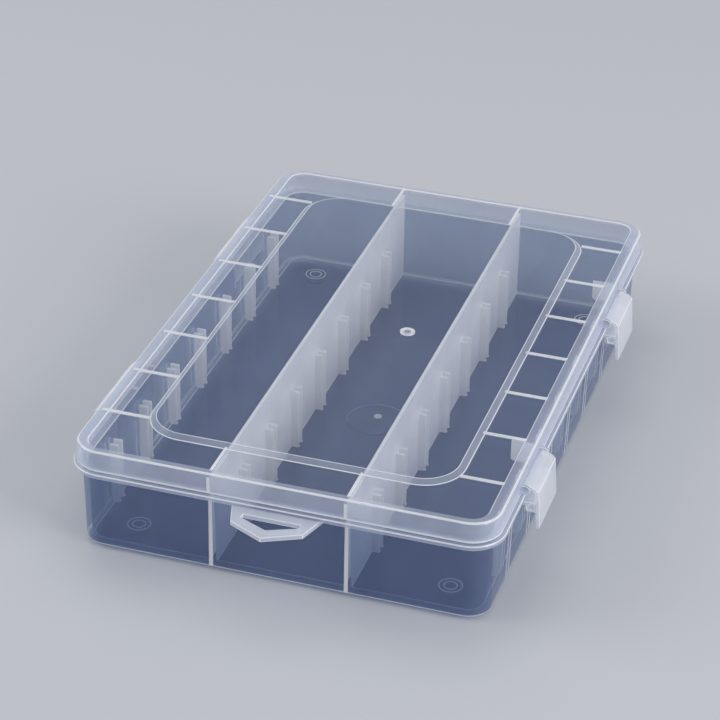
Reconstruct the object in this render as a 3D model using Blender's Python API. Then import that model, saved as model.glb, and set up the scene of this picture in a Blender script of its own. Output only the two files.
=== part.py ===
"""Clear plastic craft organizer: a hinged box with three long bays, slot ribs, two latches and a hang tab.

Metres, +Z up. X runs across the box towards the latches and Y runs along it, from the hang tab to the back.
The origin is the middle of the round pad under the floor, which stands level with the feet.
"""
import math

import bmesh
import bpy
from mathutils import Matrix, Vector

# Lid
LID_LENGTH = 0.2000
LID_WIDTH = 0.1316
LID_HEIGHT = 0.0069
LID_WALL = 0.0013
LID_TOP = 0.0013
LID_CORNER_RADIUS = 0.0095
LID_EDGE_FILLET = 0.0018

# Raised panel on the lid, with its sloped border
PANEL_SIDE_MARGIN = 0.0166
PANEL_FRONT_MARGIN = 0.0151
PANEL_BACK_MARGIN = 0.0169
PANEL_RISE = 0.0009
PANEL_SLOPE = 0.0016
PANEL_CORNER_RADIUS = 0.0130

# Short ribs on the lid's margins, and the dimple left by the moulding gate
MARGIN_RIB_PITCH = 0.0254
MARGIN_RIB_WIDTH = 0.0014
MARGIN_RIB_RISE = 0.0005
GATE_OFFSET_X = 0.0099
GATE_OFFSET_Y = -0.0012
GATE_RADIUS = 0.0023
GATE_DEPTH = 0.0004

# Tray
TRAY_HEIGHT = 0.0282
TRAY_INSET = 0.0016
TRAY_WALL = 0.0016
TRAY_FLOOR = 0.0014
TRAY_DRAFT = 0.0005
TRAY_EDGE_FILLET = 0.0009
FLANGE_REACH = 0.0011
FLANGE_THICKNESS = 0.0015

# Feet and the middle pad under the floor
FOOT_HEIGHT = 0.0008
FOOT_RADIUS = 0.0035
FOOT_BORE_RADIUS = 0.0024
FOOT_BORE_DEPTH = 0.0010
FOOT_INSET_X = 0.0142
FOOT_INSET_Y = 0.0129
PAD_RADIUS = 0.0100

# Partitions and the slot ribs for loose dividers
PARTITION_WALL = 0.0016
PARTITION_HEADROOM = 0.0009
SLOT_PITCH = 0.0242
SLOT_SHIFT = -0.0010
SLOT_WIDTH = 0.0018
RIB_WIDTH = 0.0012
RIB_DEPTH = 0.0026
RIB_DROP = 0.0056

# Hang tab at the front
TAB_THICKNESS = 0.0015
TAB_ROOT_WIDTH = 0.0290
TAB_SHOULDER_WIDTH = 0.0222
TAB_SHOULDER_REACH = 0.0075
TAB_REACH = 0.0131
TAB_HOLE_WIDTH = 0.0178
TAB_HOLE_START = 0.0029
TAB_HOLE_SHOULDER = 0.0047
TAB_HOLE_END = 0.0087

# Lid hinges on the left side
HINGE_SPACING = 0.1060
HINGE_SHIFT = 0.0025
HINGE_OFFSET = 0.0035
HINGE_DROP = 0.0023
HINGE_PIN_RADIUS = 0.0013
HINGE_HOOK_WALL = 0.0011
HINGE_HOOK_MOUTH = math.radians(90)
HINGE_ARM_RISE = 0.0036
CHEEK_SPACING = 0.0145
CHEEK_WIDTH = 0.0020
CHEEK_RADIUS = 0.0023
CHEEK_HEIGHT = 0.0127
NOTCH_LIP = 0.0004

# Latches on the right side
LATCH_SPACING = 0.1050
LATCH_SHIFT = -0.0072
LATCH_LENGTH = 0.0206
LATCH_WALL = 0.0012
LATCH_REACH = 0.0053
LATCH_LEAN = 0.0009
LATCH_SLOPE = 0.0009
LATCH_CHAMFER = 0.0011
LATCH_TAIL = 0.0092
LATCH_DROP = 0.0043
BARREL_RADIUS = 0.0011
HOOK_BITE = 0.0016
HOOK_GAP = 0.0004
CURL_SETBACK = 0.0015
CURL_HEIGHT = 0.0020
CURL_WALL = 0.0008
STUB_RADIUS = 0.00055
STUB_LENGTH = 0.0014
EAR_WIDTH = 0.0012
EAR_RADIUS = 0.0015

# Stiffening tabs inside the lid, across from the hinges
INNER_TAB_WIDTH = 0.0012
INNER_TAB_REACH = 0.0083
INNER_TAB_DROP = 0.0008

# Clearances, how far joined pieces sink into each other, and how far cutters run past
SEAT_GAP = 0.0003
SINK = 0.0005
OVERRUN = 0.0020

CORNER_SEGMENTS = 6
FILLET_SEGMENTS = 3
ROUND_SEGMENTS = 24
PIN_SEGMENTS = 12
SMOOTH_ANGLE = math.radians(35)

# Levels and half sizes that follow from the above
RIM_Z = TRAY_HEIGHT
FLANGE_LOW_Z = RIM_Z - FLANGE_THICKNESS
FLOOR_Z = FOOT_HEIGHT + TRAY_FLOOR
LID_LOW_Z = RIM_Z + SEAT_GAP
LID_TOP_Z = LID_LOW_Z + LID_HEIGHT
LID_UNDER_Z = LID_TOP_Z - LID_TOP
PARTITION_TOP_Z = LID_UNDER_Z - PARTITION_HEADROOM
RIB_TOP_Z = RIM_Z - RIB_DROP

LID_X = LID_WIDTH / 2
LID_Y = LID_LENGTH / 2
FLANGE_X = LID_X + FLANGE_REACH
FLANGE_Y = LID_Y + FLANGE_REACH
TRAY_X = LID_X - TRAY_INSET
TRAY_Y = LID_Y - TRAY_INSET
TRAY_RADIUS = LID_CORNER_RADIUS - TRAY_INSET
BAY_X = TRAY_X - TRAY_WALL
BAY_Y = TRAY_Y - TRAY_WALL

# A line inside the drafted wall at every height, where ribs and partitions are rooted
ROOT_X = (BAY_X + TRAY_X - TRAY_DRAFT) / 2
ROOT_Y = (BAY_Y + TRAY_Y - TRAY_DRAFT) / 2
PARTITION_X = (BAY_X - PARTITION_WALL) / 3 + PARTITION_WALL / 2

PANEL_X = LID_X - PANEL_SIDE_MARGIN
PANEL_FRONT_Y = PANEL_FRONT_MARGIN - LID_Y
PANEL_BACK_Y = LID_Y - PANEL_BACK_MARGIN
PANEL_Y = (PANEL_BACK_Y - PANEL_FRONT_Y) / 2
PANEL_CENTRE_Y = (PANEL_BACK_Y + PANEL_FRONT_Y) / 2

HINGE_AXIS = Vector((-LID_X - HINGE_OFFSET, 0, RIM_Z - HINGE_DROP))
LATCH_AXIS = Vector((LID_X + SEAT_GAP + BARREL_RADIUS, 0, LID_TOP_Z - LATCH_DROP))


def pair(spacing, shift):
    """Gives the two places of a pair along Y."""
    return [shift - spacing / 2, shift + spacing / 2]


HINGE_PLACES = pair(HINGE_SPACING, HINGE_SHIFT)
LATCH_PLACES = pair(LATCH_SPACING, LATCH_SHIFT)


def row_of_places(pitch, shift):
    """Gives places along Y at an even pitch, as many as fit between the tray's corners."""
    each_way = int((BAY_Y - TRAY_RADIUS) / pitch)
    return [shift + pitch * step for step in range(-each_way, each_way + 1)]


def clear_scene():
    """Removes what the file starts with."""
    for item in list(bpy.data.objects):
        bpy.data.objects.remove(item, do_unlink=True)


def new_collection(name):
    """Adds a collection to the scene."""
    collection = bpy.data.collections.new(name)
    bpy.context.scene.collection.children.link(collection)
    return collection


def plastic(name, colour, roughness, alpha):
    """Makes a milky polypropylene material."""
    material = bpy.data.materials.new(name)
    material.use_nodes = True
    shader = material.node_tree.nodes["Principled BSDF"]
    shader.inputs["Base Color"].default_value = (*colour, 1.0)
    shader.inputs["Roughness"].default_value = roughness
    shader.inputs["Metallic"].default_value = 0.0
    shader.inputs["Alpha"].default_value = alpha
    return material


def object_from(bm, name, collection):
    """Turns a bmesh into an object and frees the bmesh."""
    mesh = bpy.data.meshes.new(name)
    bm.to_mesh(mesh)
    bm.free()
    item = bpy.data.objects.new(name, mesh)
    collection.objects.link(item)
    return item


def rounded_block(name, half_x, half_y, low, high, radius, centre_y=0.0, low_inset=0.0, top_inset=0.0,
                  top_fillet=0.0, low_fillet=0.0):
    """Makes a block with rounded upright edges, which may narrow to one end and have a filleted rim."""
    bm = bmesh.new()
    bmesh.ops.create_cube(bm, size=1.0)
    bmesh.ops.scale(bm, vec=(2 * half_x, 2 * half_y, high - low), verts=bm.verts)
    middle = (low + high) / 2
    bmesh.ops.translate(bm, vec=(0, 0, middle), verts=bm.verts)
    upright = [edge for edge in bm.edges if edge.verts[0].co.xy == edge.verts[1].co.xy]
    bmesh.ops.bevel(bm, geom=upright, offset=radius, offset_type="OFFSET", segments=CORNER_SEGMENTS,
                    profile=0.5, affect="EDGES")
    for vertex in bm.verts:
        inset = top_inset if vertex.co.z > middle else low_inset
        vertex.co.x *= (half_x - inset) / half_x
        vertex.co.y *= (half_y - inset) / half_y
    for level_is_top, fillet in ((True, top_fillet), (False, low_fillet)):
        if fillet:
            rim = [edge for edge in bm.edges
                   if all((vertex.co.z > middle) == level_is_top for vertex in edge.verts)]
            bmesh.ops.bevel(bm, geom=rim, offset=fillet, offset_type="OFFSET", segments=FILLET_SEGMENTS,
                            profile=0.5, affect="EDGES")
    bmesh.ops.translate(bm, vec=(0, centre_y, 0), verts=bm.verts)
    return object_from(bm, name, TOOLS)


def boxes(name, corners):
    """Makes one mesh of separate boxes, each given by its lowest and highest corner."""
    bm = bmesh.new()
    for low, high in corners:
        low = Vector(low)
        high = Vector(high)
        shape = Matrix.Translation((low + high) / 2) @ Matrix.Diagonal((*(high - low), 1.0))
        bmesh.ops.create_cube(bm, size=1.0, matrix=shape)
    return object_from(bm, name, TOOLS)


def discs(name, centres, radius, low, high, segments=ROUND_SEGMENTS):
    """Makes one mesh of separate upright cylinders."""
    bm = bmesh.new()
    for x, y in centres:
        bmesh.ops.create_cone(bm, cap_ends=True, segments=segments, radius1=radius, radius2=radius,
                              depth=high - low, matrix=Matrix.Translation((x, y, (low + high) / 2)))
    return object_from(bm, name, TOOLS)


def rods(name, spans, radius, x, z):
    """Makes one mesh of separate cylinders that lie along Y, each from one Y to another."""
    bm = bmesh.new()
    for start, end in spans:
        place = Matrix.Translation((x, (start + end) / 2, z)) @ Matrix.Rotation(math.radians(90), 4, "X")
        bmesh.ops.create_cone(bm, cap_ends=True, segments=PIN_SEGMENTS, radius1=radius, radius2=radius,
                              depth=abs(end - start), matrix=place)
    return object_from(bm, name, TOOLS)


def flat_outline(name, outlines, thickness):
    """Turns closed outlines of (u, v) points, holes among them, into the mesh of a plate around its plane."""
    curve = bpy.data.curves.new(name, "CURVE")
    curve.dimensions = "2D"
    curve.fill_mode = "BOTH"
    curve.extrude = thickness / 2
    for points in outlines:
        spline = curve.splines.new("POLY")
        spline.points.add(len(points) - 1)
        for point, (u, v) in zip(spline.points, points):
            point.co = (u, v, 0, 1)
        spline.use_cyclic_u = True
    item = bpy.data.objects.new(name, curve)
    bpy.context.scene.collection.objects.link(item)
    graph = bpy.context.evaluated_depsgraph_get()
    mesh = bpy.data.meshes.new_from_object(item.evaluated_get(graph))
    bpy.data.objects.remove(item)
    bm = bmesh.new()
    bm.from_mesh(mesh)
    bmesh.ops.remove_doubles(bm, verts=bm.verts, dist=SINK / 100)
    bmesh.ops.recalc_face_normals(bm, faces=bm.faces)
    bm.to_mesh(mesh)
    bm.free()
    return mesh


def profiles_along_y(name, outlines, width, places, collection):
    """Makes one object of plates whose outlines lie in XZ, centred at the given places along Y."""
    mesh = flat_outline(name, outlines, width)
    upright = Matrix.Rotation(math.radians(90), 4, "X")
    bm = bmesh.new()
    for place in places:
        copied = mesh.copy()
        copied.transform(Matrix.Translation((0, place, 0)) @ upright)
        bm.from_mesh(copied)
        bpy.data.meshes.remove(copied)
    bpy.data.meshes.remove(mesh)
    return object_from(bm, name, collection)


def arc(centre, radius, start, end, steps):
    """Gives the points of an arc from one angle to another."""
    angles = [start + (end - start) * step / steps for step in range(steps + 1)]
    return [(centre[0] + radius * math.cos(angle), centre[1] + radius * math.sin(angle)) for angle in angles]


def join_or_cut(target, tool, operation):
    """Adds a Boolean to an object, and lets the tool follow the object."""
    modifier = target.modifiers.new(tool.name, "BOOLEAN")
    modifier.operation = operation
    modifier.solver = "EXACT"
    modifier.object = tool
    tool.hide_render = True
    tool.display_type = "WIRE"
    follow(tool, target)


def follow(child, parent):
    """Parents one object to another and keeps its place."""
    bpy.context.view_layer.update()
    child.parent = parent
    child.matrix_parent_inverse = parent.matrix_world.inverted()


def make_part(item, name, material, origin=(0, 0, 0)):
    """Turns a block into a named part with its own material, and its origin at the given point."""
    item.name = name
    item.data.name = name
    item.data.transform(Matrix.Translation(-Vector(origin)))
    item.location = origin
    item.data.materials.append(material)
    TOOLS.objects.unlink(item)
    PARTS.objects.link(item)
    item.data.shade_smooth()
    item.data.set_sharp_from_angle(angle=SMOOTH_ANGLE)
    return item


def build_tray():
    """Makes the tray with its flange, partitions, slot ribs, feet, hang tab and hinge brackets."""
    tray = rounded_block("tray_block", TRAY_X, TRAY_Y, FOOT_HEIGHT, RIM_Z, TRAY_RADIUS,
                         low_inset=TRAY_DRAFT, low_fillet=TRAY_EDGE_FILLET)
    milky = plastic("tray_plastic", (0.80, 0.84, 0.90), 0.22, 0.40)
    tray = make_part(tray, "base_tray", milky)
    flange = rounded_block("flange", FLANGE_X, FLANGE_Y, FLANGE_LOW_Z, RIM_Z,
                           LID_CORNER_RADIUS + FLANGE_REACH)
    join_or_cut(tray, flange, "UNION")
    join_or_cut(tray, hinge_notches(), "DIFFERENCE")
    bays = rounded_block("bays", BAY_X, BAY_Y, FLOOR_Z, RIM_Z + OVERRUN, TRAY_RADIUS - TRAY_WALL,
                         low_inset=TRAY_DRAFT, low_fillet=TRAY_EDGE_FILLET)
    join_or_cut(tray, bays, "DIFFERENCE")
    join_or_cut(tray, partitions(), "UNION")
    join_or_cut(tray, slot_ribs(), "UNION")
    corner_x = TRAY_X - TRAY_DRAFT - FOOT_INSET_X
    corner_y = TRAY_Y - TRAY_DRAFT - FOOT_INSET_Y
    corners = [(side * corner_x, end * corner_y) for side in (-1, 1) for end in (-1, 1)]
    join_or_cut(tray, discs("feet", corners, FOOT_RADIUS, 0, FOOT_HEIGHT + SINK), "UNION")
    join_or_cut(tray, discs("foot_bores", corners, FOOT_BORE_RADIUS, -OVERRUN, FOOT_BORE_DEPTH), "DIFFERENCE")
    join_or_cut(tray, discs("middle_pad", [(0, 0)], PAD_RADIUS, 0, FOOT_HEIGHT + SINK), "UNION")
    join_or_cut(tray, hang_tab(), "UNION")
    join_or_cut(tray, hinge_cheeks(), "UNION")
    half_pin = CHEEK_SPACING + CHEEK_WIDTH / 2 - SINK
    spans = [(place - half_pin, place + half_pin) for place in HINGE_PLACES]
    pins = rods("hinge_pins", spans, HINGE_PIN_RADIUS, HINGE_AXIS.x, HINGE_AXIS.z)
    join_or_cut(tray, pins, "UNION")
    return tray


def hinge_notches():
    """Makes the cutters that take the flange back beside each hinge."""
    half = CHEEK_SPACING + CHEEK_WIDTH / 2 + SEAT_GAP
    inner = -(LID_X - NOTCH_LIP)
    outer = -(FLANGE_X + OVERRUN)
    return boxes("hinge_notches", [((outer, place - half, FLANGE_LOW_Z - OVERRUN),
                                    (inner, place + half, RIM_Z + OVERRUN)) for place in HINGE_PLACES])


def partitions():
    """Makes the two long walls between the bays, rooted in the floor and the end walls."""
    half = PARTITION_WALL / 2
    return boxes("partitions", [((side * PARTITION_X - half, -ROOT_Y, FLOOR_Z - SINK),
                                 (side * PARTITION_X + half, ROOT_Y, PARTITION_TOP_Z)) for side in (-1, 1)])


def slot_ribs():
    """Makes the pairs of upright ribs on the long walls and on both faces of each partition."""
    low = FLOOR_Z - SINK
    wall_tip = BAY_X - TRAY_DRAFT - RIB_DEPTH
    partition_reach = PARTITION_WALL / 2 + RIB_DEPTH
    spans = [(-ROOT_X, -wall_tip), (wall_tip, ROOT_X)]
    for side in (-1, 1):
        spans.append((side * PARTITION_X - partition_reach, side * PARTITION_X + partition_reach))
    corners = []
    for place in row_of_places(SLOT_PITCH, SLOT_SHIFT):
        for side in (-1, 1):
            middle = place + side * (SLOT_WIDTH + RIB_WIDTH) / 2
            for start, end in spans:
                corners.append(((start, middle - RIB_WIDTH / 2, low), (end, middle + RIB_WIDTH / 2, RIB_TOP_Z)))
    return boxes("slot_ribs", corners)


def hang_tab():
    """Makes the five-sided loop that stands out of the front wall, close under the flange."""
    root = TRAY_Y - TRAY_WALL / 2
    outside = [(-TAB_ROOT_WIDTH / 2, -root),
               (-TAB_SHOULDER_WIDTH / 2, -FLANGE_Y - TAB_SHOULDER_REACH),
               (0, -FLANGE_Y - TAB_REACH),
               (TAB_SHOULDER_WIDTH / 2, -FLANGE_Y - TAB_SHOULDER_REACH),
               (TAB_ROOT_WIDTH / 2, -root)]
    hole = [(-TAB_HOLE_WIDTH / 2, -FLANGE_Y - TAB_HOLE_START),
            (-TAB_HOLE_WIDTH / 2, -FLANGE_Y - TAB_HOLE_SHOULDER),
            (0, -FLANGE_Y - TAB_HOLE_END),
            (TAB_HOLE_WIDTH / 2, -FLANGE_Y - TAB_HOLE_SHOULDER),
            (TAB_HOLE_WIDTH / 2, -FLANGE_Y - TAB_HOLE_START)]
    mesh = flat_outline("hang_tab", [outside, hole], TAB_THICKNESS)
    mesh.transform(Matrix.Translation((0, 0, FLANGE_LOW_Z - TAB_THICKNESS / 2)))
    tab = bpy.data.objects.new("hang_tab", mesh)
    TOOLS.objects.link(tab)
    return tab


def hinge_cheeks():
    """Makes the gusset cheeks that hold the hinge pins, three to each hinge."""
    axis = (HINGE_AXIS.x, HINGE_AXIS.z)
    wall = -ROOT_X
    around = arc(axis, CHEEK_RADIUS, math.radians(90), math.radians(215), PIN_SEGMENTS // 2)
    outline = [(wall, axis[1] + CHEEK_RADIUS), *around, (wall, RIM_Z - CHEEK_HEIGHT)]
    places = [place + step * CHEEK_SPACING for place in HINGE_PLACES for step in (-1, 0, 1)]
    return profiles_along_y("hinge_cheeks", [outline], CHEEK_WIDTH, places, TOOLS)


def build_lid():
    """Makes the lid with its raised panel, margin ribs, hinge hooks, inner tabs and latch ears."""
    lid = rounded_block("lid_block", LID_X, LID_Y, LID_LOW_Z, LID_TOP_Z, LID_CORNER_RADIUS,
                        top_fillet=LID_EDGE_FILLET)
    milky = plastic("lid_plastic", (0.80, 0.84, 0.90), 0.18, 0.32)
    lid = make_part(lid, "lid", milky, HINGE_AXIS)
    hollow = rounded_block("lid_hollow", LID_X - LID_WALL, LID_Y - LID_WALL, LID_LOW_Z - OVERRUN, LID_UNDER_Z,
                           LID_CORNER_RADIUS - LID_WALL)
    join_or_cut(lid, hollow, "DIFFERENCE")
    half_rise = PANEL_RISE / 2
    half_slope = PANEL_SLOPE / 2
    panel = rounded_block("panel", PANEL_X + half_slope, PANEL_Y + half_slope, LID_TOP_Z - half_rise,
                          LID_TOP_Z + PANEL_RISE, PANEL_CORNER_RADIUS, centre_y=PANEL_CENTRE_Y,
                          top_inset=PANEL_SLOPE + half_slope)
    join_or_cut(lid, panel, "UNION")
    recess = rounded_block("panel_recess", PANEL_X + half_slope, PANEL_Y + half_slope, LID_UNDER_Z - half_rise,
                           LID_UNDER_Z + PANEL_RISE, PANEL_CORNER_RADIUS, centre_y=PANEL_CENTRE_Y,
                           top_inset=PANEL_SLOPE + half_slope)
    join_or_cut(lid, recess, "DIFFERENCE")
    join_or_cut(lid, margin_ribs(), "UNION")
    dimple = discs("gate_dimple", [(GATE_OFFSET_X, GATE_OFFSET_Y)], GATE_RADIUS,
                   LID_TOP_Z + PANEL_RISE - GATE_DEPTH, LID_TOP_Z + PANEL_RISE + OVERRUN, 2 * PIN_SEGMENTS)
    join_or_cut(lid, dimple, "DIFFERENCE")
    join_or_cut(lid, inner_tabs(), "UNION")
    join_or_cut(lid, hinge_hooks(), "UNION")
    join_or_cut(lid, latch_ears(), "UNION")
    join_or_cut(lid, latch_stubs(), "UNION")
    return lid


def margin_ribs():
    """Makes the short low ribs between the panel and the lid's edges, evenly along Y and over the partitions."""
    low = LID_TOP_Z - SINK
    top = LID_TOP_Z + MARGIN_RIB_RISE
    half = MARGIN_RIB_WIDTH / 2
    panel_side = PANEL_X - PANEL_SLOPE
    side_end = LID_X - LID_EDGE_FILLET - SINK
    corners = []
    for place in row_of_places(MARGIN_RIB_PITCH, 0):
        for start, end in ((-side_end, -panel_side), (panel_side, side_end)):
            corners.append(((start, place - half, low), (end, place + half, top)))
    end_y = LID_Y - LID_EDGE_FILLET - SINK
    for side in (-1, 1):
        x = side * PARTITION_X
        corners.append(((x - half, -end_y, low), (x + half, PANEL_FRONT_Y + PANEL_SLOPE, top)))
        corners.append(((x - half, PANEL_BACK_Y - PANEL_SLOPE, low), (x + half, end_y, top)))
    return boxes("margin_ribs", corners)


def inner_tabs():
    """Makes the small upright plates inside the lid on the latch side, which reach down inside the tray's rim."""
    inner = LID_X - INNER_TAB_REACH
    outer = LID_X - LID_WALL / 2
    bay = BAY_X - SEAT_GAP
    tip = RIM_Z - INNER_TAB_DROP
    step = LID_LOW_Z + SINK
    top = LID_UNDER_Z + SINK
    outline = [(inner, tip), (bay, tip), (bay, step), (outer, step), (outer, top), (inner, top)]
    return profiles_along_y("inner_tabs", [outline], INNER_TAB_WIDTH, HINGE_PLACES, TOOLS)


def hinge_hooks():
    """Makes the lid's open hooks, two to each hinge, which clip round the pins between the cheeks."""
    axis = (HINGE_AXIS.x, HINGE_AXIS.z)
    inner_radius = HINGE_PIN_RADIUS + SEAT_GAP
    outer_radius = inner_radius + HINGE_HOOK_WALL
    mouth = HINGE_HOOK_MOUTH / 2
    root = -(LID_X - LID_WALL / 2)
    around = 2 * math.pi - mouth
    inner_arc = arc(axis, inner_radius, mouth, around, PIN_SEGMENTS)
    outer_arc = arc(axis, outer_radius, around, math.radians(105), PIN_SEGMENTS)
    outline = [(root, LID_LOW_Z + SEAT_GAP), *inner_arc, *outer_arc, (root, LID_LOW_Z + HINGE_ARM_RISE)]
    width = CHEEK_SPACING - CHEEK_WIDTH - 2 * SEAT_GAP
    places = [place + side * CHEEK_SPACING / 2 for place in HINGE_PLACES for side in (-1, 1)]
    return profiles_along_y("hinge_hooks", [outline], width, places, TOOLS)


def latch_ears():
    """Makes the lid's small ears at both ends of each latch."""
    axis = (LATCH_AXIS.x, LATCH_AXIS.z)
    root = LID_X - LID_WALL / 2
    nose = arc(axis, EAR_RADIUS, math.radians(-90), math.radians(90), PIN_SEGMENTS // 2)
    outline = [(root, axis[1] - EAR_RADIUS), *nose, (root, axis[1] + EAR_RADIUS)]
    out = LATCH_LENGTH / 2 + SEAT_GAP + EAR_WIDTH / 2
    places = [place + side * out for place in LATCH_PLACES for side in (-1, 1)]
    return profiles_along_y("latch_ears", [outline], EAR_WIDTH, places, TOOLS)


def latch_stubs():
    """Makes the stub pins that stand from the ears into the latches' ends."""
    outer = LATCH_LENGTH / 2 + SEAT_GAP + SINK
    inner = LATCH_LENGTH / 2 - STUB_LENGTH
    spans = [(place + side * inner, place + side * outer) for place in LATCH_PLACES for side in (-1, 1)]
    return rods("latch_stubs", spans, STUB_RADIUS, LATCH_AXIS.x, LATCH_AXIS.z)


def latch_outlines():
    """Gives the latch's outline in XZ and the small hollow behind its hook."""
    barrel_x = LATCH_AXIS.x
    barrel_z = LATCH_AXIS.z
    top = barrel_z + BARREL_RADIUS
    outer_x = LID_X + LATCH_REACH
    tail_z = FLANGE_LOW_Z - LATCH_TAIL
    tail_x = outer_x + LATCH_LEAN
    corner_z = top - LATCH_SLOPE
    shelf_top = FLANGE_LOW_Z - HOOK_GAP
    shelf_low = shelf_top - LATCH_WALL
    curl_low = shelf_low - CURL_HEIGHT
    nose_x = FLANGE_X - HOOK_BITE
    curl_x = nose_x + CURL_SETBACK

    def plate_inner(z):
        """Gives the leaning thumb plate's inner face at a height."""
        share = (corner_z - z) / (corner_z - tail_z)
        return outer_x - LATCH_WALL + LATCH_LEAN * share

    under = math.asin((BARREL_RADIUS - LATCH_WALL) / BARREL_RADIUS)
    barrel = arc((barrel_x, barrel_z), BARREL_RADIUS, under, math.radians(-270), PIN_SEGMENTS)
    outline = [(outer_x - LATCH_CHAMFER, corner_z),
               (outer_x, corner_z - LATCH_CHAMFER),
               (tail_x, tail_z + LATCH_WALL / 2),
               (tail_x - LATCH_WALL / 3, tail_z),
               (tail_x - LATCH_WALL, tail_z),
               (plate_inner(curl_low), curl_low),
               (curl_x, curl_low),
               (curl_x, shelf_low),
               (nose_x, shelf_low),
               (nose_x, shelf_top),
               (plate_inner(shelf_top), shelf_top),
               (plate_inner(corner_z - LATCH_WALL), corner_z - LATCH_WALL),
               *barrel]
    hollow_low = curl_low + CURL_WALL
    hollow_top = shelf_top - CURL_WALL
    hollow = [(curl_x + CURL_WALL, hollow_low),
              (plate_inner(hollow_low), hollow_low),
              (plate_inner(hollow_top), hollow_top),
              (curl_x + CURL_WALL, hollow_top)]
    return [outline, hollow]


def build_latch(name, place):
    """Makes one latch, which hooks under the flange and turns on the lid's stub pins."""
    latch = profiles_along_y("latch_block", latch_outlines(), LATCH_LENGTH, [place], TOOLS)
    origin = LATCH_AXIS + Vector((0, place, 0))
    white = plastic(name + "_plastic", (0.88, 0.90, 0.93), 0.25, 0.60)
    latch = make_part(latch, name, white, origin)
    half = LATCH_LENGTH / 2
    bore = STUB_LENGTH + SEAT_GAP
    spans = [(place - half - OVERRUN, place - half + bore), (place + half - bore, place + half + OVERRUN)]
    bores = rods("bores", spans, STUB_RADIUS + SEAT_GAP, origin.x, origin.z)
    join_or_cut(latch, bores, "DIFFERENCE")
    return latch


clear_scene()
PARTS = new_collection("craft_storage_organizer")
TOOLS = new_collection("cutters")
tray_object = build_tray()
lid_object = build_lid()
latch_objects = [build_latch(name, place) for name, place in zip(("front_latch", "rear_latch"), LATCH_PLACES)]
follow(lid_object, tray_object)
for latch_object in latch_objects:
    follow(latch_object, lid_object)
bpy.context.view_layer.update()
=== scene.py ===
"""Dresses the clear craft organizer: finer mouldings in milky plastic, a floor, lights and the camera."""

import math

import bmesh
import bpy
from mathutils import Matrix, Vector


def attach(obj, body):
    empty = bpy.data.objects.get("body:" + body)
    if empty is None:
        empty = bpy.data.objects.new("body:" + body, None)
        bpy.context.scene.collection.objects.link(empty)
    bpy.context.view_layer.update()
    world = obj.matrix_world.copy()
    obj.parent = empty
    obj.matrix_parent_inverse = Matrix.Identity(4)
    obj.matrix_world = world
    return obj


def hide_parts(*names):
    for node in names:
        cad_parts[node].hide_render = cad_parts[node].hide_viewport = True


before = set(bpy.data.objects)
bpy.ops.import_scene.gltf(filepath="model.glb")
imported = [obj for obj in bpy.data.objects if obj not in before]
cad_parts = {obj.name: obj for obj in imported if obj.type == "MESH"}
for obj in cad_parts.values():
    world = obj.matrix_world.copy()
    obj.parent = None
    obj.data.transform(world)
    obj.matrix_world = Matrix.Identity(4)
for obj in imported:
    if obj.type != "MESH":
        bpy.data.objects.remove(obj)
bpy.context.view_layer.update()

MM = 0.001

# Levels, in millimetres above the table
FOOT = 0.8
FLOOR_TOP = 2.2
RIB_TOP = 22.6
FLANGE_LOW = 26.7
RIM = 28.2
SKIRT_LOW = 28.5
PARTITION_TOP = 33.2
LID_UNDER = 34.1
LID_TOP = 35.4

# Half sizes, walls and roundings
LID_X = 65.8
LID_Y = 100.0
LID_RADIUS = 9.5
LID_WALL = 1.3
FLANGE_REACH = 1.1
TRAY_INSET = 1.6
TRAY_WALL = 1.6
TRAY_DRAFT = 0.5
TRAY_X = LID_X - TRAY_INSET
TRAY_Y = LID_Y - TRAY_INSET
TRAY_RADIUS = LID_RADIUS - TRAY_INSET
BAY_X = TRAY_X - TRAY_WALL
BAY_Y = TRAY_Y - TRAY_WALL
FOOT_FILLET = 1.5
FLOOR_FILLET = 1.1

# Partitions and slot ribs
PARTITION_X = 21.13
PARTITION_WALL = 1.6
PARTITION_ROOT = 0.95
PARTITION_TIP = 0.55
SLOT_PLACES = [24.2 * step - 1.0 for step in range(-3, 4)]
SLOT_WIDTH = 1.8
RIB_WIDTH = 1.2
RIB_DEPTH = 2.6

# Ring feet, pad and gate marks
FOOT_X = 49.5
FOOT_Y = 85.0
FOOT_RADIUS = 3.6
FOOT_BORE = 2.3
FOOT_LINES = (3.7, 2.2)
FOOT_LINE_WIDTH = 0.4
PAD_RADIUS = 10.0
FLOOR_GATE = (0.7, -1.0)
LID_GATE = (9.9, -1.2)
GATE_RADIUS = 1.3
DIMPLE_RADIUS = 2.4

# Hang tab: half widths, and how far the corners of its outline and of its hole are from the flange
TAB_ROOT_X = 14.5
TAB_X = 11.1
TAB_SIDE = 7.5
TAB_TIP = 13.1
TAB_PLATE = 1.5
TAB_HOLE_X = 8.9
TAB_HOLE_NEAR = 2.9
TAB_HOLE_SIDE = 4.7
TAB_HOLE_TIP = 8.7

# Lid top
MARGIN_PLACES = [25.4 * step for step in range(-3, 4)]
RIDGE_X = 3.7
RIDGE_Y = 2.5
FILLET = 1.2
MARGIN_DROP = 0.3
RIB_BAR = 1.35
LINE_HALF = 0.45
STRIP_HALF = 0.5
PANEL_X = 49.2
PANEL_FRONT = -84.9
PANEL_BACK = 83.1
PANEL_SLOPE = 1.6
PANEL_RISE = 0.9
PANEL_RADIUS = 13.0

# Hinges
HINGE_PLACES = (-50.5, 55.5)
HINGE_X = -69.3
HINGE_Z = 25.9
PIN_RADIUS = 1.3
HOOK_GAP = 0.3
HOOK_WALL = 0.8
HINGE_PAD = 15.5
PAD_PROUD = 0.25
CHEEK_STEP = 14.5
CHEEK_WIDTH = 2.0
CHEEK_RADIUS = 2.3
CHEEK_FOOT = 15.5

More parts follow.
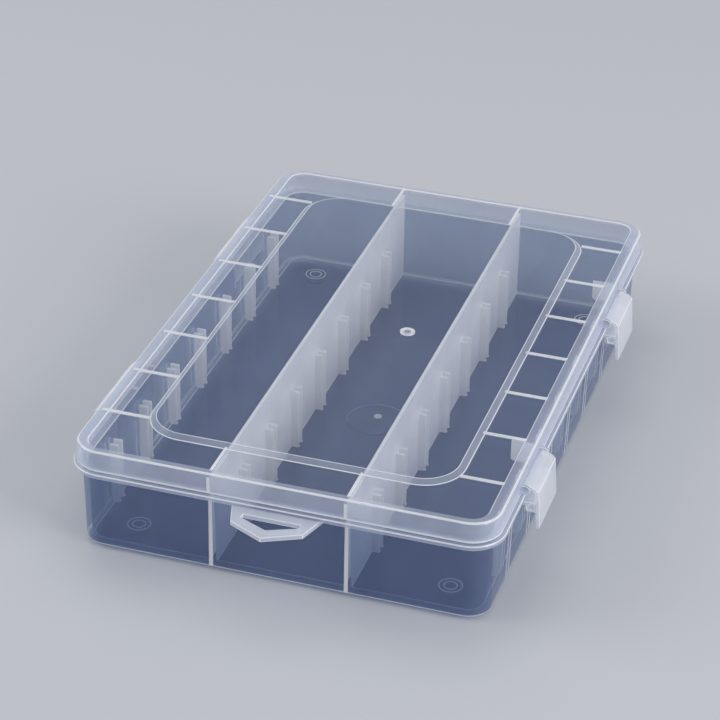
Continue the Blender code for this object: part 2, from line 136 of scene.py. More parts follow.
# Latches
LATCH_PLACES = {"front_latch": -59.7, "rear_latch": 45.3}
LATCH_X = 67.2
LATCH_Z = 31.1
LATCH_LENGTH = 20.6
BARREL = 1.1
BORE_DEPTH = 1.7
STUB = 0.55
EAR_WIDTH = 1.2
EAR_RADIUS = 1.5

# Steps in a quarter-round corner and fillet, and the sharpest edge that is shaded smooth
CORNER_STEPS = 14
FILLET_STEPS = 5
SMOOTH = math.radians(32)

# Turns an outline in XY upright, into XZ
UPRIGHT = Matrix.Rotation(math.radians(90), 4, "X")

# Places in each moulding's list of materials
FILM = 0
MILKY = 1
# The third material is the white of the painted highlights on rims, corners and lines
PAINTED_HIGHLIGHT = 2
HAZY = 3
WALL = 4

# Plastic: detail of its clouds and grain per metre, the milk's share that shines through, its mirror's strength
CLOUD_SCALE = 45.0
GRAIN_SCALE = 900.0
GRAIN_STRENGTH = 0.035
GRAIN_HEIGHT = 0.0002
SHINE_THROUGH = 0.45
MIRROR_FACING = 0.035
MIRROR_SLANT = 0.55


# Meshes

def ring(half_x, half_y, radius, z, centre_y=0.0):
    """Gives the points of a rounded rectangle, counter-clockwise from above."""
    points = []
    for quarter in range(4):
        sx, sy = ((1, -1), (1, 1), (-1, 1), (-1, -1))[quarter]
        cx = sx * (half_x - radius)
        cy = sy * (half_y - radius)
        start = math.radians(90 * (quarter - 1))
        for step in range(CORNER_STEPS + 1):
            angle = start + math.radians(90) * step / CORNER_STEPS
            points.append((cx + radius * math.cos(angle), cy + radius * math.sin(angle) + centre_y, z))
    return points


def bend(inset_from, inset_to, z_from, z_to, outward_first):
    """Gives the (inset, z) steps of a quarter-round between two levels."""
    steps = []
    for step in range(FILLET_STEPS + 1):
        angle = math.radians(90) * step / FILLET_STEPS
        along = math.sin(angle)
        across = 1 - math.cos(angle)
        if outward_first:
            along, across = across, along
        steps.append((inset_from + (inset_to - inset_from) * across, z_from + (z_to - z_from) * along))
    return steps


def body_of_rings(name, rings, materials):
    """Makes a closed body from (points, material) rings, each with the material of the band up to the next."""
    bm = bmesh.new()
    rows = []
    for points, _ in rings:
        rows.append([bm.verts.new(Vector(point) * MM) for point in points])
    for low, high, (_, material) in zip(rows, rows[1:], rings):
        count = len(low)
        for i in range(count):
            j = (i + 1) % count
            bm.faces.new((low[i], low[j], high[j], high[i])).material_index = material
    bm.faces.new(list(reversed(rows[0])))
    bm.faces.new(rows[-1])
    bmesh.ops.recalc_face_normals(bm, faces=bm.faces)
    return mesh_object(bm, name, materials)


def mesh_object(bm, name, materials=()):
    """Turns a bmesh into an object of the scene."""
    mesh = bpy.data.meshes.new(name)
    bm.to_mesh(mesh)
    bm.free()
    for material in materials:
        mesh.materials.append(material)
    item = bpy.data.objects.new(name, mesh)
    bpy.context.scene.collection.objects.link(item)
    return item


def prism(bm, outline, low, high, turn=None):
    """Adds a closed prism to a bmesh: an outline of (u, v) points, from one level to another."""
    place = turn or Matrix.Identity(4)
    bottom = [bm.verts.new(place @ (Vector((u, v, low)) * MM)) for u, v in outline]
    top = [bm.verts.new(place @ (Vector((u, v, high)) * MM)) for u, v in outline]
    count = len(outline)
    faces = [bm.faces.new(list(reversed(bottom))), bm.faces.new(top)]
    for i in range(count):
        j = (i + 1) % count
        faces.append(bm.faces.new((bottom[i], bottom[j], top[j], top[i])))
    bmesh.ops.recalc_face_normals(bm, faces=faces)


def plates(name, outline, spans, materials=()):
    """Makes plates whose outline is in XZ, each from one Y to another."""
    bm = bmesh.new()
    for start, end in spans:
        prism(bm, outline, -end, -start, UPRIGHT)
    return mesh_object(bm, name, materials)


def block(bm, low, high):
    """Adds a box to a bmesh."""
    prism(bm, [(low[0], low[1]), (high[0], low[1]), (high[0], high[1]), (low[0], high[1])], low[2], high[2])


def disc(bm, x, y, radius, low, high, steps=48):
    """Adds an upright cylinder to a bmesh."""
    prism(bm, arc((x, y), radius, 0, 360, steps)[:-1], low, high)


def arc(centre, radius, start, end, steps):
    """Gives the points of an arc between two angles in degrees."""
    points = []
    for step in range(steps + 1):
        angle = math.radians(start + (end - start) * step / steps)
        points.append((centre[0] + radius * math.cos(angle), centre[1] + radius * math.sin(angle)))
    return points


def combine(target, tool, operation="UNION"):
    """Joins a tool to an object or cuts it out, and removes the tool."""
    modifier = target.modifiers.new(tool.name, "BOOLEAN")
    modifier.operation = operation
    modifier.solver = "EXACT"
    modifier.material_mode = "TRANSFER"
    modifier.object = tool
    apply_modifiers(target)
    bpy.data.objects.remove(tool)


def apply_modifiers(item):
    """Replaces an object's mesh by what its modifiers make of it."""
    graph = bpy.context.evaluated_depsgraph_get()
    mesh = bpy.data.meshes.new_from_object(item.evaluated_get(graph), preserve_all_data_layers=True,
                                           depsgraph=graph)
    item.modifiers.clear()
    item.data = mesh


def soften(item, width):
    """Rounds an object's sharp edges with a narrow band of its last material; where that is the white or milky
    film, the band is a painted highlight.
    """
    modifier = item.modifiers.new("edges", "BEVEL")
    modifier.limit_method = "ANGLE"
    modifier.angle_limit = SMOOTH
    modifier.width = width * MM
    modifier.segments = 2
    modifier.use_clamp_overlap = False
    modifier.material = len(item.data.materials) - 1
    apply_modifiers(item)
    return item


def smooth(item):
    """Shades an object smoothly, with its flat faces flat and its sharp edges sharp."""
    item.data.shade_smooth()
    item.data.set_sharp_from_angle(angle=SMOOTH)
    flats = item.modifiers.new("flats", "WEIGHTED_NORMAL")
    flats.mode = "FACE_AREA"
    flats.weight = 100
    flats.keep_sharp = True
    apply_modifiers(item)


# Materials

def node(tree, kind, values=None):
    """Adds a shader node and sets its sockets' values."""
    item = tree.nodes.new(kind)
    for socket, value in (values or {}).items():
        item.inputs[socket].default_value = value
    return item


def plastic(name, colour, haze, rim_haze, roughness, mottle, tint=(0.97, 0.98, 1.0), foot=None):
    """Makes milky polypropylene: a clear film that scatters a share of the light, more of it at a slant.

    A foot colour, where one is given, takes over from the colour towards the tray's floor: a painted warm
    highlight low down.
    """
    material = bpy.data.materials.new(name)
    material.use_nodes = True
    tree = material.node_tree
    tree.nodes.clear()
    link = tree.links.new
    place = node(tree, "ShaderNodeTexCoord").outputs["Object"]

    # The share of the light that is scattered, by slant, with soft clouds in it
    cloud = node(tree, "ShaderNodeTexNoise", {"Scale": CLOUD_SCALE, "Detail": 3.0})
    link(place, cloud.inputs["Vector"])
    facing = node(tree, "ShaderNodeLayerWeight", {"Blend": 0.35})
    slant = node(tree, "ShaderNodeMapRange", {"To Min": haze, "To Max": rim_haze})
    link(facing.outputs["Facing"], slant.inputs["Value"])
    patch = node(tree, "ShaderNodeMapRange",
                 {"From Min": 0.3, "From Max": 0.7, "To Min": 1 - mottle, "To Max": 1 + mottle})
    link(cloud.outputs["Fac"], patch.inputs["Value"])
    share = node(tree, "ShaderNodeMath")
    share.operation = "MULTIPLY"
    share.use_clamp = True
    link(slant.outputs["Result"], share.inputs[0])
    link(patch.outputs["Result"], share.inputs[1])

    # The clear film, and the milk in it, which is lit from its front and from behind
    clear = node(tree, "ShaderNodeBsdfTransparent", {"Color": (*tint, 1.0)})
    front = node(tree, "ShaderNodeBsdfDiffuse", {"Color": (*colour, 1.0)})
    through = node(tree, "ShaderNodeBsdfTranslucent", {"Color": (*colour, 1.0)})
    # Painted warm highlight: towards the tray's floor the colour turns to the foot colour
    if foot:
        height = node(tree, "ShaderNodeSeparateXYZ")
        link(place, height.inputs["Vector"])
        rise = node(tree, "ShaderNodeMapRange", {"From Min": FLOOR_TOP * MM, "From Max": RIB_TOP * MM})
        link(height.outputs["Z"], rise.inputs["Value"])
        blend = node(tree, "ShaderNodeValToRGB")
        blend.color_ramp.elements[0].color = (*foot, 1.0)
        blend.color_ramp.elements[1].color = (*colour, 1.0)
        link(rise.outputs["Result"], blend.inputs["Fac"])
        link(blend.outputs["Color"], front.inputs["Color"])
        link(blend.outputs["Color"], through.inputs["Color"])
    milk = node(tree, "ShaderNodeMixShader", {"Fac": SHINE_THROUGH})
    link(front.outputs["BSDF"], milk.inputs[1])
    link(through.outputs["BSDF"], milk.inputs[2])
    film = node(tree, "ShaderNodeMixShader")
    link(share.outputs["Value"], film.inputs["Fac"])
    link(clear.outputs["BSDF"], film.inputs[1])
    link(milk.outputs["Shader"], film.inputs[2])

    # The gloss on top, with a fine grain, which grows fast towards a slant
    grain = node(tree, "ShaderNodeTexNoise", {"Scale": GRAIN_SCALE, "Detail": 2.0})
    link(place, grain.inputs["Vector"])
    bump = node(tree, "ShaderNodeBump", {"Strength": GRAIN_STRENGTH, "Distance": GRAIN_HEIGHT})
    link(grain.outputs["Fac"], bump.inputs["Height"])
    gloss = node(tree, "ShaderNodeBsdfGlossy", {"Roughness": roughness, "Color": (1.0, 1.0, 1.0, 1.0)})
    link(bump.outputs["Normal"], gloss.inputs["Normal"])
    slope = node(tree, "ShaderNodeLayerWeight", {"Blend": 0.5})
    steep = node(tree, "ShaderNodeMath", {1: 5.0})
    steep.operation = "POWER"
    link(slope.outputs["Facing"], steep.inputs[0])
    mirror = node(tree, "ShaderNodeMapRange", {"To Min": MIRROR_FACING, "To Max": MIRROR_SLANT})
    link(steep.outputs["Value"], mirror.inputs["Value"])
    surface = node(tree, "ShaderNodeMixShader")
    link(mirror.outputs["Result"], surface.inputs["Fac"])
    link(film.outputs["Shader"], surface.inputs[1])
    link(gloss.outputs["BSDF"], surface.inputs[2])
    link(surface.outputs["Shader"], node(tree, "ShaderNodeOutputMaterial").inputs["Surface"])
    return material


# Tray

def make_tray(film, milky, edge, hazy, wall, rib, plate):
    """Makes the tray with its flange, partitions, slot ribs, feet, hang tab and hinge cheeks."""
    tray = make_tray_shell((film, milky, edge, hazy, wall))
    add_walls(tray, milky, edge, rib)
    add_outer_lines(tray, edge, plate)
    add_feet(tray, film, milky, edge, rib)
    combine(tray, make_tab(plate, edge))
    combine(tray, make_cheeks(milky, edge))
    smooth(tray)
    return tray


def make_tray_shell(materials):
    """Makes the tray's floor, walls and flange, with a notch in the flange at each hinge."""
    def level(inset, z):
        """Gives the outer ring at an inset from the tray's top size."""
        return ring(TRAY_X - inset, TRAY_Y - inset, TRAY_RADIUS - inset, z)

    def inner(inset, z):
        """Gives the inner ring at an inset from the bays' top size."""
        return ring(BAY_X - inset, BAY_Y - inset, TRAY_RADIUS - TRAY_WALL - inset, z)

    # Painted highlights: white bands on the foot's rounding and on the flange's and rim's corners, and a milky
    # band on the floor's rounding
    rings = [(level(inset, z), PAINTED_HIGHLIGHT)
             for inset, z in bend(TRAY_DRAFT + FOOT_FILLET, TRAY_DRAFT, FOOT, FOOT + FOOT_FILLET, True)]
    for step in (0, 1, 4, 5):
        rings[step] = (rings[step][0], WALL)
    reach = -TRAY_INSET - FLANGE_REACH
    rings.append((level(0.0, FLANGE_LOW), HAZY))
    rings.append((level(reach + 0.25, FLANGE_LOW), PAINTED_HIGHLIGHT))
    rings.append((level(reach, FLANGE_LOW + 0.25), HAZY))
    rings.append((level(reach, RIM - 0.35), PAINTED_HIGHLIGHT))
    rings.append((level(reach + 0.3, RIM), HAZY))
    rings.append((inner(-0.35, RIM), PAINTED_HIGHLIGHT))
    rings.append((inner(0.0, RIM - 0.3), WALL))
    rings += [(inner(inset, z), WALL) for inset, z in
              bend(TRAY_DRAFT, TRAY_DRAFT + FLOOR_FILLET, FLOOR_TOP + FLOOR_FILLET, FLOOR_TOP, False)]
    rings[-2] = (rings[-2][0], MILKY)
    tray = body_of_rings("tray", rings, materials)

    notch = bmesh.new()
    half = CHEEK_STEP + CHEEK_WIDTH / 2 + HOOK_GAP
    for place in HINGE_PLACES:
        block(notch, (-72, place - half, FLANGE_LOW - 2), (-LID_X + 0.4, place + half, RIM + 2))
    combine(tray, mesh_object(notch, "notches"), "DIFFERENCE")
    return tray


def add_walls(tray, milky, edge, rib):
    """Adds the partitions and the slot ribs, with a painted highlight line where each meets the floor, and
    painted white tops and ends on the partitions.
    """
    foot = FLOOR_TOP - 0.5
    root_y = BAY_Y + TRAY_WALL / 2 - TRAY_DRAFT
    walls = bmesh.new()
    for x in (-PARTITION_X, PARTITION_X):
        outline = [(x - PARTITION_ROOT, foot), (x + PARTITION_ROOT, foot), (x + PARTITION_TIP, PARTITION_TOP),
                   (x - PARTITION_TIP, PARTITION_TOP)]
        prism(walls, outline, -root_y, root_y, UPRIGHT)
    # Painted highlights: the partitions' tops and ends take the white film
    paint(walls, lambda face: face.normal.z > 0.9 or abs(face.normal.y) > 0.9)
    combine(tray, soften(mesh_object(walls, "partitions", (milky, edge)), 0.15))
    ribs = bmesh.new()
    add_ribs(ribs, foot, RIB_TOP, 0.0)
    combine(tray, soften(mesh_object(ribs, "slot_ribs", (rib, edge)), 0.3))
    # Painted highlight lines where the ribs and the partitions meet the floor
    roots = bmesh.new()
    add_ribs(roots, foot, FLOOR_TOP + 0.35, 0.2)
    combine(tray, mesh_object(roots, "rib_roots", (edge,)))
    roots = bmesh.new()
    for x in (-PARTITION_X, PARTITION_X):
        block(roots, (x - 1.2, -root_y, foot), (x + 1.2, root_y, FLOOR_TOP + 0.3))
    combine(tray, mesh_object(roots, "partition_roots", (edge,)))


def add_outer_lines(tray, edge, plate):
    """Adds painted pale bars on the long walls' outside where the lit ribs show through, and painted white
    lines on the end walls where the partitions' ends show through.
    """
    low = FOOT + FOOT_FILLET
    lean = TRAY_DRAFT * (FLANGE_LOW - RIB_TOP) / (FLANGE_LOW - low)
    proud = 0.05
    # Painted pale bars on the long walls' outside, where the lit ribs show through
    middles = [place + side * (SLOT_WIDTH + RIB_WIDTH) / 2 for place in SLOT_PLACES for side in (-1, 1)]
    spans = [(middle - RIB_WIDTH / 2, middle + RIB_WIDTH / 2) for middle in middles]
    for side in (-1, 1):
        outline = [(side * (TRAY_X - TRAY_DRAFT + proud), low), (side * (TRAY_X - lean + proud), RIB_TOP),
                   (side * (TRAY_X - 1), RIB_TOP), (side * (TRAY_X - 1), low)]
        combine(tray, plates("rib_bars", outline, spans, (plate,)))
    # Painted white lines on the end walls, where the partitions' ends show through
    partition_end_lines = bmesh.new()
    for x in (-PARTITION_X, PARTITION_X):
        for end in (-1, 1):
            low_y, high_y = sorted((end * (TRAY_Y - TRAY_DRAFT - 0.4), end * (TRAY_Y + 0.06)))
            block(partition_end_lines, (x - 0.55, low_y, FOOT + 1.2), (x + 0.55, high_y, FLANGE_LOW + 0.3))
    combine(tray, mesh_object(partition_end_lines, "partition_end_lines", (edge,)))


def add_feet(tray, film, milky, edge, rib):
    """Adds the ring feet, with painted white lines on the floor above them where their rims show through, the
    round pad and the gate mark.
    """
    for x in (-FOOT_X, FOOT_X):
        for y in (-FOOT_Y, FOOT_Y):
            foot_ring = make_tube("foot", (x, y), (FOOT_RADIUS, FOOT_BORE), (0, FOOT + 0.5), (-1, FOOT + 1),
                                  (film, film))
            combine(tray, soften(foot_ring, 0.2))
            # Painted white lines on the floor's top, over the feet's rims
            for radius in FOOT_LINES:
                line = make_tube("foot_line", (x, y), (radius, radius - FOOT_LINE_WIDTH),
                                 (FLOOR_TOP - 0.4, FLOOR_TOP + 0.1), (FLOOR_TOP - 1, FLOOR_TOP + 1), (edge,))
                combine(tray, line)
    pad = bmesh.new()
    disc(pad, 0, 0, PAD_RADIUS, 0, FOOT + 0.5, 72)
    combine(tray, soften(mesh_object(pad, "pad", (film, milky)), 0.3))
    gate = bmesh.new()
    disc(gate, *FLOOR_GATE, GATE_RADIUS, FLOOR_TOP - 0.3, FLOOR_TOP + 0.35)
    combine(tray, soften(mesh_object(gate, "gate", (rib, edge)), 0.15))


def make_tube(name, centre, radii, span, bore_span, materials):
    """Makes an upright tube from its outer and inner radius."""
    outside = bmesh.new()
    disc(outside, *centre, radii[0], *span)
    bore = bmesh.new()
    disc(bore, *centre, radii[1], *bore_span)
    tube = mesh_object(outside, name, materials)
    combine(tube, mesh_object(bore, name + "_bore", materials[:1]), "DIFFERENCE")
    return tube


def paint(bm, chosen):
    """Gives the chosen faces of a bmesh the second material."""
    bm.normal_update()
    for face in bm.faces:
        if chosen(face):
            face.material_index = 1


def add_ribs(bm, low, high, swell):
    """Adds the slot ribs, with round tips, on the long walls and across each partition."""
    tip = RIB_WIDTH / 2 + swell
    root = BAY_X + TRAY_WALL / 2 - TRAY_DRAFT
    wall_reach = BAY_X - TRAY_DRAFT - RIB_DEPTH + RIB_WIDTH / 2
    partition_reach = PARTITION_WALL / 2 + RIB_DEPTH - RIB_WIDTH / 2
    for place in SLOT_PLACES:
        for side in (-1, 1):
            middle = place + side * (SLOT_WIDTH + RIB_WIDTH) / 2
            right = arc((wall_reach, middle), tip, 90, 270, 8) + [(root, middle - tip), (root, middle + tip)]
            left = arc((-wall_reach, middle), tip, -90, 90, 8) + [(-root, middle + tip), (-root, middle - tip)]
            prism(bm, right, low, high)
            prism(bm, left, low, high)
            for end in (-1, 1):
                x = end * PARTITION_X
                outline = arc((x + partition_reach, middle), tip, -90, 90, 8)
                outline += arc((x - partition_reach, middle), tip, 90, 270, 8)
                prism(bm, outline, low, high)


def make_tab(plate, edge):
    """Makes the five-sided hang tab with its hole."""
    flange = LID_Y + FLANGE_REACH
    root = -TRAY_Y + 0.8
    outside = [(-TAB_ROOT_X, root), (-TAB_X, -flange - TAB_SIDE), (0, -flange - TAB_TIP),
               (TAB_X, -flange - TAB_SIDE), (TAB_ROOT_X, root)]
    hole = [(-TAB_HOLE_X, -flange - TAB_HOLE_NEAR), (-TAB_HOLE_X, -flange - TAB_HOLE_SIDE),
            (0, -flange - TAB_HOLE_TIP), (TAB_HOLE_X, -flange - TAB_HOLE_SIDE),
            (TAB_HOLE_X, -flange - TAB_HOLE_NEAR)]
    bm = bmesh.new()
    prism(bm, outside, FLANGE_LOW - TAB_PLATE, FLANGE_LOW)
    tab = mesh_object(bm, "tab", (plate, edge))
    cut = bmesh.new()
    prism(cut, hole, FLANGE_LOW - 4, FLANGE_LOW + 4)
    combine(tab, mesh_object(cut, "tab_hole"), "DIFFERENCE")
    return soften(tab, 0.22)


def make_cheeks(milky, edge):
    """Makes the hinge cheeks and their pins."""
    around = arc((HINGE_X, HINGE_Z), CHEEK_RADIUS, 90, 215, 14)
    wall = -(BAY_X + TRAY_WALL / 2 - TRAY_DRAFT)
    outline = [(wall, RIM), *around, (wall, CHEEK_FOOT)]
    spans = []
    pins = []
    for place in HINGE_PLACES:
        for step in (-1, 0, 1):
            middle = place + step * CHEEK_STEP
            spans.append((middle - CHEEK_WIDTH / 2, middle + CHEEK_WIDTH / 2))
        pins.append((place - CHEEK_STEP - 0.4, place + CHEEK_STEP + 0.4))
    cheeks = soften(plates("cheeks", outline, spans, (milky, edge)), 0.2)
    pads = bmesh.new()
    for place in HINGE_PLACES:
        block(pads, (-TRAY_X - PAD_PROUD, place - HINGE_PAD, CHEEK_FOOT + 2.5),
              (wall, place + HINGE_PAD, FLANGE_LOW + 0.3))
    combine(cheeks, soften(mesh_object(pads, "hinge_pads", (milky, edge)), 0.15))
    combine(cheeks, plates("pins", arc((HINGE_X, HINGE_Z), PIN_RADIUS, 0, 360, 32)[:-1], pins, (milky,)))
    return cheeks


# Lid

def make_lid(film, milky, edge, hazy, rib):
    """Makes the lid with its ridge, panel, margin ribs, inner tabs, hinge hooks and latch ears."""
    lid = make_lid_shell((film, milky, edge, hazy))
    add_lid_lines(lid, milky, edge)
    add_lid_gate(lid, edge, hazy)
    for part, width in ((make_inner_tabs(rib, edge), 0.3), (make_hooks(milky, edge), 0.2),
                        (make_ears(hazy, edge), 0.15), (make_stubs(milky, edge), 0.08)):
        combine(lid, soften(part, width))
    smooth(lid)
    return lid


def make_lid_shell(materials):
    """Makes the lid's skirt, ridge, margin and raised panel, hollow below."""
    def level(inset, z, inset_y=None):
        """Gives the ring at an inset from the lid's outside, or at one inset in X and another in Y."""
        along = inset if inset_y is None else inset_y
        return ring(LID_X - inset, LID_Y - along, max(LID_RADIUS - max(inset, along), 1.0), z)

    centre_y = (PANEL_FRONT + PANEL_BACK) / 2
    panel_y = (PANEL_BACK - PANEL_FRONT) / 2

    def panel(inset, z):
        """Gives the ring at an inset from the panel's border."""
        return ring(PANEL_X - inset, panel_y - inset, PANEL_RADIUS - inset, z, centre_y)

    margin = LID_TOP - MARGIN_DROP
    panel_top = LID_TOP + PANEL_RISE
    # Painted highlights: white bands round the skirt's foot, on the top's rounding and round the panel's
    # border, and milky bands on the top's rounding and the ridge's inner slope
    rings = [(level(LID_WALL, SKIRT_LOW + 0.1), PAINTED_HIGHLIGHT), (level(0.25, SKIRT_LOW), PAINTED_HIGHLIGHT),
             (level(0, SKIRT_LOW + 0.25), PAINTED_HIGHLIGHT), (level(0, SKIRT_LOW + 0.7), HAZY)]
    rings += [(level(inset, z), PAINTED_HIGHLIGHT) for inset, z in bend(0, FILLET, LID_TOP - FILLET, LID_TOP, False)]
    for step, skin in ((4, HAZY), (5, HAZY), (6, MILKY), (8, HAZY), (9, HAZY)):
        rings[step] = (rings[step][0], skin)
    rings.append((level(RIDGE_X, LID_TOP, RIDGE_Y), MILKY))
    rings.append((level(RIDGE_X + 0.35, margin, RIDGE_Y + 0.35), FILM))
    rings.append((panel(-0.3, margin), PAINTED_HIGHLIGHT))
    rings.append((panel(0.1, margin + 0.1), HAZY))
    rings.append((panel(PANEL_SLOPE, panel_top - 0.02), PAINTED_HIGHLIGHT))
    rings.append((panel(PANEL_SLOPE + 0.3, panel_top), FILM))
    lid = body_of_rings("lid_outer", rings, materials)

    rings = [(level(LID_WALL, SKIRT_LOW - 2), HAZY)]
    rings += [(level(inset, z), HAZY)
              for inset, z in bend(LID_WALL, LID_WALL + 0.8, LID_UNDER - 0.8, LID_UNDER, False)]
    rings[-1] = (rings[-1][0], FILM)
    rings.append((panel(0, LID_UNDER), FILM))
    rings.append((panel(PANEL_SLOPE, LID_UNDER + PANEL_RISE), FILM))
    combine(lid, body_of_rings("lid_hollow", rings, materials), "DIFFERENCE")
    return lid


def add_lid_lines(lid, milky, edge):
    """Adds the low ribs on the margins, and painted white upright lines on the skirt's front and back where the
    partitions' ends show through.
    """
    ribs = bmesh.new()
    low = LID_TOP - 0.8
    top = LID_TOP + 0.08
    inner_x = PANEL_X - PANEL_SLOPE / 2
    left_x = LID_X - FILLET - 0.5
    right_x = LID_X - RIDGE_X + 0.2
    half = RIB_BAR / 2
    for place in MARGIN_PLACES:
        block(ribs, (inner_x, place - half, low), (right_x, place + half, top))
        block(ribs, (-left_x, place - half, low), (-inner_x, place + half, top))
    end_y = LID_Y - RIDGE_Y + 0.4
    for x in (-PARTITION_X, PARTITION_X):
        block(ribs, (x - LINE_HALF, -end_y, low), (x + LINE_HALF, PANEL_FRONT + PANEL_SLOPE / 2, top))
        block(ribs, (x - LINE_HALF, PANEL_BACK - PANEL_SLOPE / 2, low), (x + LINE_HALF, end_y, top))
    combine(lid, soften(mesh_object(ribs, "margin_ribs", (milky, edge)), 0.22))
    # Painted white strips on the skirt, where the partitions' ends show through
    strips = bmesh.new()
    low = SKIRT_LOW + 0.5
    top = LID_TOP - FILLET
    for x in (-PARTITION_X, PARTITION_X):
        block(strips, (x - STRIP_HALF, -LID_Y - 0.05, low), (x + STRIP_HALF, -LID_Y + 0.6, top))
        block(strips, (x - STRIP_HALF, LID_Y - 0.6, low), (x + STRIP_HALF, LID_Y + 0.05, top))
    combine(lid, mesh_object(strips, "skirt_lines", (edge,)))


def add_lid_gate(lid, edge, hazy):
    """Adds the gate mark near the panel's middle: a round dimple with a nub in it."""
    top = LID_TOP + PANEL_RISE
    # Painted highlight: the dimple's wall and the nub's rim take the white film
    cut = bmesh.new()
    disc(cut, *LID_GATE, DIMPLE_RADIUS, top - 0.45, top + 2)
    combine(lid, mesh_object(cut, "gate_dimple", (edge,)), "DIFFERENCE")
    nub = bmesh.new()
    disc(nub, *LID_GATE, GATE_RADIUS, top - 0.8, top - 0.1)
    combine(lid, soften(mesh_object(nub, "gate", (hazy, edge)), 0.15))


def make_inner_tabs(rib, edge):
    """Makes the small plates inside the lid on the latch side."""
    root = LID_X - LID_WALL / 2
    inner_x = 57.5
    outer_x = BAY_X - HOOK_GAP
    tip = RIM - 0.8
    rounding = 1.2
    half = 0.6
    corner = arc((inner_x + rounding, tip + rounding), rounding, 180, 270, 8)
    outline = [(inner_x, LID_UNDER + 0.4), *corner, (outer_x, tip), (outer_x, SKIRT_LOW + 0.5),
               (root, SKIRT_LOW + 0.5), (root, LID_UNDER + 0.4)]
    spans = [(place - half, place + half) for place in HINGE_PLACES]
    return plates("inner_tabs", outline, spans, (rib, edge))


def make_hooks(milky, edge):
    """Makes the lid's hooks, which clip round the hinge pins between the cheeks."""
    centre = (HINGE_X, HINGE_Z)
    gap = PIN_RADIUS + HOOK_GAP
    root = -(LID_X - LID_WALL / 2)
    outline = [(root, SKIRT_LOW + 0.3), *arc(centre, gap, 45, 315, 28),
               *arc(centre, gap + HOOK_WALL, 315, 105, 28), (root, SKIRT_LOW + 3.6)]
    half = (CHEEK_STEP - CHEEK_WIDTH) / 2 - HOOK_GAP
    middles = [place + side * CHEEK_STEP / 2 for place in HINGE_PLACES for side in (-1, 1)]
    return plates("hooks", outline, [(middle - half, middle + half) for middle in middles], (milky, edge))


def make_ears(hazy, edge):
    """Makes the lid's ears beside each latch."""
    root = LID_X - LID_WALL / 2
    outline = [(root, LATCH_Z - EAR_RADIUS), *arc((LATCH_X, LATCH_Z), EAR_RADIUS, -90, 90, 14),
               (root, LATCH_Z + EAR_RADIUS)]
    out = LATCH_LENGTH / 2 + HOOK_GAP
    spans = []
    for place in LATCH_PLACES.values():
        spans += [(place - out - EAR_WIDTH, place - out), (place + out, place + out + EAR_WIDTH)]
    return plates("ears", outline, spans, (hazy, edge))


def make_stubs(milky, edge):
    """Makes the stub pins that stand from the ears into the latches' ends."""
    spans = []
    for place in LATCH_PLACES.values():
        near = LATCH_LENGTH / 2 - 1.4
        far = LATCH_LENGTH / 2 + HOOK_GAP + 0.5
        spans += [(place - far, place - near), (place + near, place + far)]
    return plates("stubs", arc((LATCH_X, LATCH_Z), STUB, 0, 360, 20)[:-1], spans, (milky, edge))


# Latches

def make_latch(name, place, milky, edge):
    """Makes one latch: a barrel, a bent thumb plate and a hook with a hollow curl under it."""
    top = LATCH_Z + BARREL
    thumb = [(70.0, top - 0.9), (71.1, top - 2.0), (72.0, 18.1), (71.6, 17.5), (70.8, 17.6)]
    curl = [(70.35, 23.05), (67.5, 23.05), (66.85, 23.6), (67.1, 25.1), (65.3, 25.1), (65.3, 26.3),
            (69.95, 26.3)]
    inside = [(69.8, top - 2.5), (69.5, top - 2.05)]
    barrel = arc((LATCH_X, LATCH_Z), BARREL, -5.2, -270, 24)
    bm = bmesh.new()
    half = LATCH_LENGTH / 2
    prism(bm, thumb + curl + inside + barrel, -place - half, -place + half, UPRIGHT)
    latch = mesh_object(bm, name + "_clip", (milky, edge))
    hollow = [(67.7, 23.75), (69.95, 23.75), (69.9, 25.35), (67.85, 25.35)]
    start = place - half
    end = place + half
    combine(latch, plates("hollow", hollow, [(start - 2, end + 2)]), "DIFFERENCE")
    round_bore = arc((LATCH_X, LATCH_Z), STUB + HOOK_GAP, 0, 360, 24)[:-1]
    spans = [(start - 2, start + BORE_DEPTH), (end - BORE_DEPTH, end + 2)]
    combine(latch, plates("bores", round_bore, spans), "DIFFERENCE")
    soften(latch, 0.28)
    smooth(latch)
    return latch


# Setting

def make_floor():
    """Makes a plain pale floor with a slight sheen."""
    bm = bmesh.new()
    half = 3000
    block(bm, (-half, -half, -20), (half, half, -0.2))
    floor = mesh_object(bm, "floor")
    material = bpy.data.materials.new("floor_paint")
    material.use_nodes = True
    tree = material.node_tree
    shader = tree.nodes["Principled BSDF"]
    noise = node(tree, "ShaderNodeTexNoise", {"Scale": 6.0})
    ramp = node(tree, "ShaderNodeValToRGB")
    ramp.color_ramp.elements[0].color = (0.50, 0.515, 0.545, 1)
    ramp.color_ramp.elements[1].color = (0.52, 0.535, 0.565, 1)
    tree.links.new(noise.outputs["Fac"], ramp.inputs["Fac"])
    tree.links.new(ramp.outputs["Color"], shader.inputs["Base Color"])
    shader.inputs["Roughness"].default_value = 0.42
    shader.inputs["Specular IOR Level"].default_value = 0.3
    floor.data.materials.append(material)


def area_light(name, place, size, power, colour):
    """Adds a soft light that faces the box, with its place and size in metres and its power in watts."""
    light = bpy.data.lights.new(name, "AREA")
    light.shape = "RECTANGLE"
    light.size, light.size_y = size
    light.energy = power
    light.color = colour
    item = bpy.data.objects.new(name, light)
    item.location = place
    aim = Vector((0, 0, 0.02))
    item.rotation_euler = (aim - item.location).to_track_quat("-Z", "Y").to_euler()
    bpy.context.scene.collection.objects.link(item)


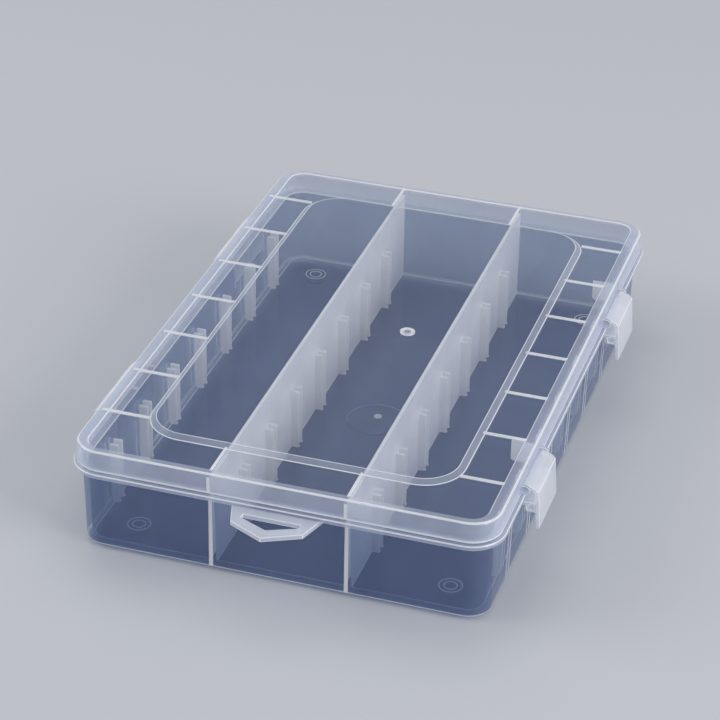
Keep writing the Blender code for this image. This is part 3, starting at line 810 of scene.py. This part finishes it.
def make_lights():
    """Adds soft studio light: a big soft box overhead and behind, one on each side, and an even room."""
    area_light("overhead", (-0.15, 0.45, 1.1), (1.0, 0.7), 3.0, (1.0, 0.99, 0.97))
    area_light("left", (-1.1, -0.35, 0.7), (0.8, 0.8), 6.5, (0.97, 0.98, 1.0))
    area_light("right", (1.2, -0.35, 0.6), (0.8, 0.8), 11.0, (1.0, 0.99, 0.97))
    world = bpy.data.worlds.new("room")
    world.use_nodes = True
    room = world.node_tree.nodes["Background"]
    room.inputs["Color"].default_value = (0.82, 0.84, 0.88, 1)
    room.inputs["Strength"].default_value = 0.55
    bpy.context.scene.world = world


def make_camera():
    """Places the camera as the photograph's was, fitted to the lid's ribs and edges."""
    camera = bpy.data.cameras.new("camera")
    camera.lens = 132.2
    camera.sensor_width = 36.0
    camera.clip_start = 0.05
    camera.clip_end = 20.0
    item = bpy.data.objects.new("camera", camera)
    right = Vector((0.95256743, 0.30375227, 0.01870442))
    down = Vector((0.16864032, -0.47569651, -0.86329211))
    forward = Vector((-0.25332931, 0.82549826, -0.50435788))
    turn = Matrix((right, -down, -forward)).transposed().to_4x4()
    item.matrix_world = Matrix.Translation((0.211011, -0.707603, 0.454128)) @ turn
    bpy.context.scene.collection.objects.link(item)
    bpy.context.scene.camera = item


make_camera()

# Films, each with the colour of its milk, its haze seen straight on and at a slant, its roughness, the strength
# of its clouds, and the tint of what is seen through it
clear_film = plastic("clear_film", (0.28, 0.36, 0.53), 0.015, 0.16, 0.10, 0.25, (0.98, 0.985, 0.995))
wall_film = plastic("wall_film", (0.33, 0.40, 0.56), 0.16, 0.27, 0.14, 0.25, (0.65, 0.71, 0.82))
floor_film = plastic("floor_film", (0.24, 0.31, 0.49), 0.15, 0.30, 0.14, 0.25, (0.66, 0.72, 0.845))
hazy_film = plastic("hazy_film", (0.68, 0.73, 0.85), 0.34, 0.60, 0.14, 0.15)
plate_film = plastic("plate_film", (0.82, 0.85, 0.92), 0.48, 0.72, 0.16, 0.15)
# The foot colours paint a warm highlight towards the tray's floor
milky_film = plastic("milky_film", (0.985, 0.985, 0.995), 0.84, 0.97, 0.20, 0.10, foot=(0.98, 0.975, 0.97))
rib_film = plastic("rib_film", (0.99, 0.99, 0.99), 0.88, 0.97, 0.18, 0.08, foot=(0.99, 0.98, 0.965))
# The last film is the white of the painted highlights on rims, corners and bright lines, warm towards the floor
painted_highlight_film = plastic("painted_highlight_film", (0.985, 0.99, 1.0), 0.92, 0.98, 0.12, 0.05, foot=(1.0, 0.97, 0.93))
latch_film = plastic("latch_film", (0.94, 0.955, 0.985), 0.40, 0.70, 0.16, 0.12)

tray_piece = make_tray(floor_film, milky_film, painted_highlight_film, hazy_film, wall_film, rib_film, plate_film)
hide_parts("base_tray")
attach(tray_piece, "tray")
lid_piece = make_lid(clear_film, milky_film, painted_highlight_film, hazy_film, rib_film)
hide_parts("lid")
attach(lid_piece, "lid")
for latch_name, latch_place in LATCH_PLACES.items():
    latch_piece = make_latch(latch_name, latch_place, latch_film, painted_highlight_film)
    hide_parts(latch_name)
    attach(latch_piece, latch_name)

make_floor()
make_lights()
bpy.context.scene.view_settings.view_transform = "Standard"
bpy.context.scene.cycles.transparent_max_bounces = 32
